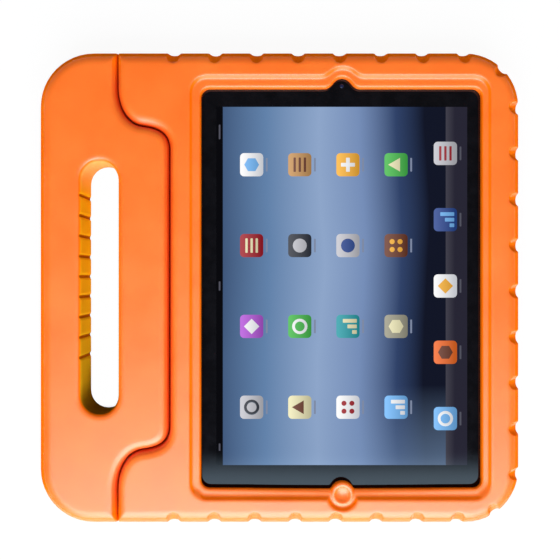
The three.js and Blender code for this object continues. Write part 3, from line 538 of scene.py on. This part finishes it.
def pale_floor():
    """A white floor that keeps a faint shadow except for painted light under the finger slot, is dark under
    the closed case and is clear from below.
    """
    n = Finish("pale_floor")
    n.set(Base_Color=n.shades(n.noise(scale=3.0), (0.86, 0.86, 0.86), (0.9, 0.9, 0.9)))
    n.set(Roughness=0.9, Specular_IOR_Level=0.0)
    cover_low = (BODY_LOW.x - COVER_PAST_SEAM - COVER_INSET, BODY_LOW.y)
    covered = within(n, (cover_low, (BODY_HIGH.x, BODY_HIGH.y)), -COVER_INSET)
    # Painted light: the floor seen through the finger slot glows fully white, with no shadow
    painted_light_under_slot = within(n, SLOT, SLOT_LIGHT_REACH)
    share = n.plus(FLOOR_GLOW, n.times(painted_light_under_slot, 1.0 - FLOOR_GLOW))
    share = n.times(share, n.outside(covered))
    seen = n.times(n.add("ShaderNodeLightPath").outputs["Is Camera Ray"], share)
    glow = n.add("ShaderNodeEmission").outputs["Emission"]
    above = n.blend(seen, n.shader.outputs["BSDF"], glow)
    from_below = n.add("ShaderNodeNewGeometry").outputs["Backfacing"]
    clear = n.add("ShaderNodeBsdfTransparent").outputs["BSDF"]
    n.link(n.blend(from_below, above, clear), n.tree.nodes["Material Output"].inputs["Surface"])
    return n.material


# Modelling helpers


def select_only(*pieces):
    bpy.ops.object.select_all(action="DESELECT")
    for piece in pieces:
        piece.select_set(True)
    bpy.context.view_layer.objects.active = pieces[0]


def apply_modifier(piece, kind, **settings):
    select_only(piece)
    modifier = piece.modifiers.new(kind.lower(), kind)
    for key, value in settings.items():
        setattr(modifier, key, value)
    bpy.ops.object.modifier_apply(modifier=modifier.name)


def finish_piece(piece, name, body, material):
    """Names a piece, puts its place in its mesh, gives it its material and lets it ride on its body."""
    select_only(piece)
    bpy.ops.object.transform_apply(location=True, rotation=True, scale=True)
    piece.name = piece.data.name = name
    piece.data.materials.clear()
    piece.data.materials.append(material)
    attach(piece, body)
    return piece


def merged_copy(node):
    """A copy of a faceted solid to be shaped further, with its loose triangles merged."""
    piece = frame["nodes"][node].copy()
    piece.data = piece.data.copy()
    bpy.context.scene.collection.objects.link(piece)
    piece.parent = None
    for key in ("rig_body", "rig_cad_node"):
        del piece[key]
    select_only(piece)
    bpy.ops.object.mode_set(mode="EDIT")
    bpy.ops.mesh.select_all(action="SELECT")
    bpy.ops.mesh.remove_doubles(threshold=MERGE_DISTANCE)
    bpy.ops.object.mode_set(mode="OBJECT")
    return piece


# The foam case


def push_out(case, distance, chosen):
    """Moves the chosen points of the case a little way towards the glass."""
    select_only(case)
    bpy.ops.object.mode_set(mode="EDIT")
    bpy.ops.mesh.select_mode(type="VERT")
    bpy.ops.mesh.select_all(action="DESELECT")
    for vertex in bmesh.from_edit_mesh(case.data).verts:
        vertex.select_set(chosen(vertex.co))
    bpy.ops.transform.translate(value=(0, distance, 0))
    bpy.ops.object.mode_set(mode="OBJECT")


def bulge_lip(case):
    """Lets the window's lower edge and the pad over the button stand a little way over the glass."""
    low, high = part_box("home_button")
    pad = (low + high) / 2
    reach = (high.x - low.x) / 2 + PAD_MARGIN

    def at_lip(place):
        return all(LIP_LOW[i] < place[i] < LIP_HIGH[i] for i in range(3))

    def beside_pad(place):
        return at_lip(place) and abs(place.x - pad.x) > reach

    def on_pad(place):
        return at_lip(place) and abs(place.x - pad.x) < reach and place.y > pad.y

    push_out(case, LIP_BULGE, beside_pad)
    push_out(case, PAD_BULGE, on_pad)


def hollow_pad(case):
    """Hollows the pad over the home button with a ball, for a fingertip."""
    low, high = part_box("home_button")
    rim = BODY_HIGH.z - PAD_DROP
    bpy.ops.mesh.primitive_uv_sphere_add(
        segments=48,
        ring_count=24,
        radius=BOWL_RADIUS,
        location=((low.x + high.x) / 2, (low.y + high.y) / 2 + PAD_SHIFT, rim - BOWL_DEPTH + BOWL_RADIUS),
    )
    ball = bpy.context.active_object
    apply_modifier(case, "BOOLEAN", object=ball, operation="DIFFERENCE")
    bpy.data.objects.remove(ball)


def mould(piece):
    """Makes a faceted solid one smooth moulding: its edges soften as foam's do in the mould."""
    voxel = FOAM_VOXEL
    apply_modifier(piece, "REMESH", mode="VOXEL", voxel_size=voxel)
    apply_modifier(piece, "SMOOTH", factor=0.5, iterations=FOAM_SMOOTHING)
    count = sum(len(face.vertices) - 2 for face in piece.data.polygons)
    if count > FOAM_TRIANGLES:
        apply_modifier(piece, "DECIMATE", ratio=FOAM_TRIANGLES / count)
    select_only(piece)
    bpy.ops.object.shade_smooth()


def make_foam(material):
    case = merged_copy("case_body")
    bulge_lip(case)
    hollow_pad(case)
    for piece, node, body in ((case, "case_body", "case"), (merged_copy("handle"), "handle", "handle")):
        mould(piece)
        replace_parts(finish_piece(piece, node + "_moulding", body, material), node)


# Shapes on the tablet's screen


def layer(level):
    """Bottom and top of one of the display's layers."""
    bottom = GLASS_TOP + GLASS_GAP + level * LAYER
    return bottom, bottom + LAYER_FILL * LAYER


def plate(centre, width, length, corner, level):
    """A thin plate with round corners, from a cube whose upright edges are bevelled."""
    bottom, top = layer(level)
    bpy.ops.mesh.primitive_cube_add(size=1, location=(centre[0], centre[1], (top + bottom) / 2))
    piece = bpy.context.active_object
    piece.scale = (width, length, top - bottom)
    bpy.ops.object.transform_apply(location=True, rotation=True, scale=True)
    bpy.ops.object.mode_set(mode="EDIT")
    bpy.ops.mesh.select_mode(type="EDGE")
    cube = bmesh.from_edit_mesh(piece.data)
    for edge in cube.edges:
        one, two = (vertex.co for vertex in edge.verts)
        edge.select_set(abs(one.z - two.z) > (top - bottom) / 2)
    bmesh.update_edit_mesh(piece.data)
    bpy.ops.mesh.bevel(offset=corner, segments=4)
    bpy.ops.object.mode_set(mode="OBJECT")
    return piece


def strip(place, width, length, level):
    return plate(place, width, length, STRIP_CORNER, level)


def shape(place, corners, radius, turn=0):
    """A flat disc or polygon on a tile, turned by some degrees."""
    bottom, top = layer(MOTIF_LAYER)
    bpy.ops.mesh.primitive_cylinder_add(
        vertices=corners,
        radius=radius,
        depth=top - bottom,
        location=(place[0], place[1], (top + bottom) / 2),
        rotation=(0, 0, math.radians(turn)),
    )
    return bpy.context.active_object


# Motifs of the tiles, sized as shares of a tile


def disc(place, size):
    return [shape(place, 24, 0.3 * size)]


def ring(place, size):
    thickness = 0.06 * size
    bpy.ops.mesh.primitive_torus_add(
        location=(place[0], place[1], layer(MOTIF_LAYER)[0]),
        major_radius=0.27 * size,
        minor_radius=thickness,
        major_segments=24,
        minor_segments=6,
    )
    piece = bpy.context.active_object
    piece.scale.z = LAYER_FILL * LAYER / thickness
    return [piece]


def triangle(place, size):
    return [shape(place, 3, 0.34 * size, turn=90)]


def diamond(place, size):
    return [shape(place, 4, 0.33 * size)]


def hexagon(place, size):
    return [shape(place, 6, 0.32 * size, turn=30)]


def bars(place, size):
    centres = [(place[0] + i * 0.22 * size, place[1]) for i in (-1, 0, 1)]
    return [strip(centre, 0.1 * size, 0.62 * size, MOTIF_LAYER) for centre in centres]


def cross(place, size):
    long, narrow = 0.6 * size, 0.16 * size
    return [strip(place, long, narrow, MOTIF_LAYER), strip(place, narrow, long, MOTIF_LAYER)]


def steps(place, size):
    pieces = []
    for i in range(3):
        centre = (place[0] + (0.28 - 0.1 * i) * size, place[1] + (i - 1) * 0.24 * size)
        pieces.append(strip(centre, 0.2 * (i + 1) * size, 0.16 * size, MOTIF_LAYER))
    return pieces


def dots(place, size):
    off = 0.17 * size
    centres = [(place[0] + x, place[1] + y) for x in (-off, off) for y in (-off, off)]
    return [shape(centre, 16, 0.11 * size) for centre in centres]


# The tablet's screen

PAINTS = {
    "stone": (0.3, 0.29, 0.22),
    "violet": (0.4, 0.09, 0.58),
    "ruby": (0.32, 0.01, 0.02),
    "leaf": (0.06, 0.42, 0.07),
    "sky": (0.16, 0.42, 0.8),
    "amber": (0.85, 0.4, 0.04),
    "tan": (0.5, 0.27, 0.1),
    "cream": (0.72, 0.68, 0.42),
    "brown": (0.14, 0.04, 0.02),
    "silver": (0.48, 0.48, 0.52),
    "slate": (0.03, 0.035, 0.05),
    "white": (0.8, 0.82, 0.88),
    "navy": (0.02, 0.06, 0.25),
    "orange": (0.75, 0.14, 0.02),
    "teal": (0.02, 0.3, 0.34),
    "caption": (0.3, 0.36, 0.52),
    "dim": (0.12, 0.12, 0.16),
    "shelf": (0.03, 0.028, 0.05),
    "strip": (0.004, 0.004, 0.006),
}

# Each tile's paint, its motif and the motif's paint: the grid column by column, then the shelf
TILES = [
    ("silver", ring, "slate"),
    ("violet", diamond, "white"),
    ("ruby", bars, "cream"),
    ("white", hexagon, "sky"),
    ("cream", triangle, "brown"),
    ("leaf", ring, "white"),
    ("slate", disc, "silver"),
    ("tan", bars, "brown"),
    ("white", dots, "ruby"),
    ("teal", steps, "cream"),
    ("silver", disc, "navy"),
    ("amber", cross, "white"),
    ("sky", steps, "white"),
    ("stone", hexagon, "cream"),
    ("brown", dots, "amber"),
    ("leaf", triangle, "cream"),
    ("sky", ring, "white"),
    ("orange", hexagon, "brown"),
    ("white", diamond, "amber"),
    ("navy", steps, "sky"),
    ("silver", bars, "ruby"),
]


def tile_places():
    """The middle of each tile and its caption's paint: a grid on the wallpaper, then a row on the shelf."""
    for column in range(TILE_COLUMNS):
        for row in range(TILE_ROWS):
            y = PANEL.y + (row - (TILE_ROWS - 1) / 2) * TILE_PITCH_Y
            yield FIRST_COLUMN + column * TILE_PITCH_X, y, "caption"
    for row in range(SHELF_TILES):
        y = PANEL.y + (row - (SHELF_TILES - 1) / 2) * SHELF_PITCH_Y
        yield PANEL.x + PICTURE_WIDTH / 2 - SHELF_TILE_INSET, y, "dim"


def screen_shapes(low, high):
    """The status strip, the shelf, the tiles and what is on them, sorted by their paint."""
    shapes = {name: [] for name in PAINTS}
    status_x = low.x + STATUS_WIDTH / 2
    shapes["strip"].append(strip((status_x, PANEL.y), STATUS_WIDTH, PICTURE_LENGTH, STRIP_LAYER))
    shelf_x = high.x - SHELF_WIDTH / 2
    shapes["shelf"].append(strip((shelf_x, PANEL.y), SHELF_WIDTH, PICTURE_LENGTH, STRIP_LAYER))
    for share, length in STATUS_MARKS:
        mark = (status_x, PANEL.y + share * PICTURE_LENGTH)
        shapes["dim"].append(strip(mark, STATUS_MARK_WIDTH, length, TILE_LAYER))
    for (paint, motif, motif_paint), (x, y, caption_paint) in zip(TILES, tile_places()):
        shapes[paint].append(plate((x, y), TILE_SIZE, TILE_SIZE, TILE_CORNER, TILE_LAYER))
        shapes[motif_paint].extend(motif((x, y), TILE_SIZE))
        below = x + TILE_SIZE / 2 + CAPTION_GAP
        shapes[caption_paint].append(strip((below, y), CAPTION_WIDTH, CAPTION_LENGTH, TILE_LAYER))
    return shapes


def make_display():
    """The lit picture, and what lies on it as one piece for each paint."""
    half = Vector((PICTURE_WIDTH / 2, PICTURE_LENGTH / 2, 0))
    low, high = PANEL - half, PANEL + half
    picture = plate(PANEL, PICTURE_WIDTH, PICTURE_LENGTH, PICTURE_CORNER, PICTURE_LAYER)
    finish_piece(picture, "display_picture", "case", wallpaper(low, high))
    for name, pieces in screen_shapes(low, high).items():
        select_only(*pieces)
        bpy.ops.object.transform_apply(location=True, rotation=True, scale=True)
        bpy.ops.object.join()
        paint = screen_paint(name, PAINTS[name])
        finish_piece(bpy.context.active_object, "lit_" + name, "case", paint)


def make_lens():
    """The front camera's lens under the glass edge, a shallow dome that catches the light."""
    low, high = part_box("front_camera")
    centre = (low + high) / 2
    bpy.ops.mesh.primitive_uv_sphere_add(
        segments=24, ring_count=12, radius=LENS_RADIUS, location=(centre.x, centre.y, GLASS_TOP)
    )
    lens = bpy.context.active_object
    lens.scale.z = LENS_FLATNESS
    bpy.ops.object.shade_smooth()
    finish_piece(lens, "camera_lens", "case", lens_glass())


# Camera, light and floor


def make_camera():
    camera = bpy.data.objects.new("camera", bpy.data.cameras.new("camera"))
    bpy.context.scene.collection.objects.link(camera)
    camera.location = CAMERA_PLACE
    camera.data.lens = CAMERA_LENS
    camera.data.clip_start = CAMERA_NEAR
    bpy.context.scene.camera = camera


def soft_box(name, place, size, power):
    """A rectangular light that looks at the object."""
    light = bpy.data.lights.new(name, "AREA")
    light.shape = "RECTANGLE"
    light.size, light.size_y = size
    light.energy = power
    lamp = bpy.data.objects.new(name, light)
    bpy.context.scene.collection.objects.link(lamp)
    lamp.location = place
    lamp.rotation_mode = "QUATERNION"
    lamp.rotation_quaternion = (LIGHT_TARGET - lamp.location).to_track_quat("-Z", "Y")
    return light


def make_card():
    """A pale blue light that sets in softly along its upper edge, like a card lit from one side."""
    card = soft_box("card", CARD_PLACE, CARD_SIZE, CARD_POWER)
    card.color = CARD_COLOUR
    n = Nodes(card)
    height = n.part(n.add("ShaderNodeNewGeometry").outputs["Parametric"], "Y")
    ease = n.spread(height, *CARD_FADE)
    ease.node.interpolation_type = "SMOOTHSTEP"
    n.link(ease, n.tree.nodes["Emission"].inputs["Strength"])


def make_world():
    """A dim sky that lights the object, is nearly dark in reflections and is white to the camera."""
    world = bpy.data.worlds.new("studio")
    bpy.context.scene.world = world
    n = Nodes(world)
    sky = n.tree.nodes["Background"]
    sky.inputs["Color"].default_value = SKY_COLOUR
    sky.inputs["Strength"].default_value = SKY
    dark = n.add("ShaderNodeBackground")
    dark.inputs["Strength"].default_value = SKY_REFLECTED
    white = n.add("ShaderNodeBackground")
    white.inputs["Color"].default_value = (1, 1, 1, 1)
    path = n.add("ShaderNodeLightPath")
    shade = n.blend(path.outputs["Is Glossy Ray"], sky.outputs["Background"], dark.outputs["Background"])
    shade = n.blend(path.outputs["Is Camera Ray"], shade, white.outputs["Background"])
    n.link(shade, n.tree.nodes["World Output"].inputs["Surface"])


def make_floor():
    bpy.ops.mesh.primitive_plane_add(size=FLOOR_SIZE, location=(0, 0, 0))
    floor = bpy.context.active_object
    floor.name = "floor"
    floor.data.materials.append(pale_floor())


# The nodes' finishes, by their material slot

FINISHES = {
    "steel": drawn_steel(),
    "nylon": natural_nylon(),
    "shell": blasted_aluminium(),
    "glass": black_glass(),
    "screen": black_glass(),
    "battery": foil_pouch(),
    "board": solder_mask(),
    "black_plastic": moulded_plastic(),
    "foam": foam_skin(),
}


def dress_nodes():
    for row in frame["record"]["subparts"]:
        mesh = frame["nodes"][row["node"]].data
        mesh.materials.clear()
        mesh.materials.append(FINISHES[row["material_slot"]])


bpy.context.scene.view_settings.view_transform = "Standard"
make_camera()
make_world()
make_floor()
soft_box("key", KEY_PLACE, KEY_SIZE, KEY_POWER)
make_card()
dress_nodes()
make_foam(FINISHES["foam"])
make_display()
make_lens()
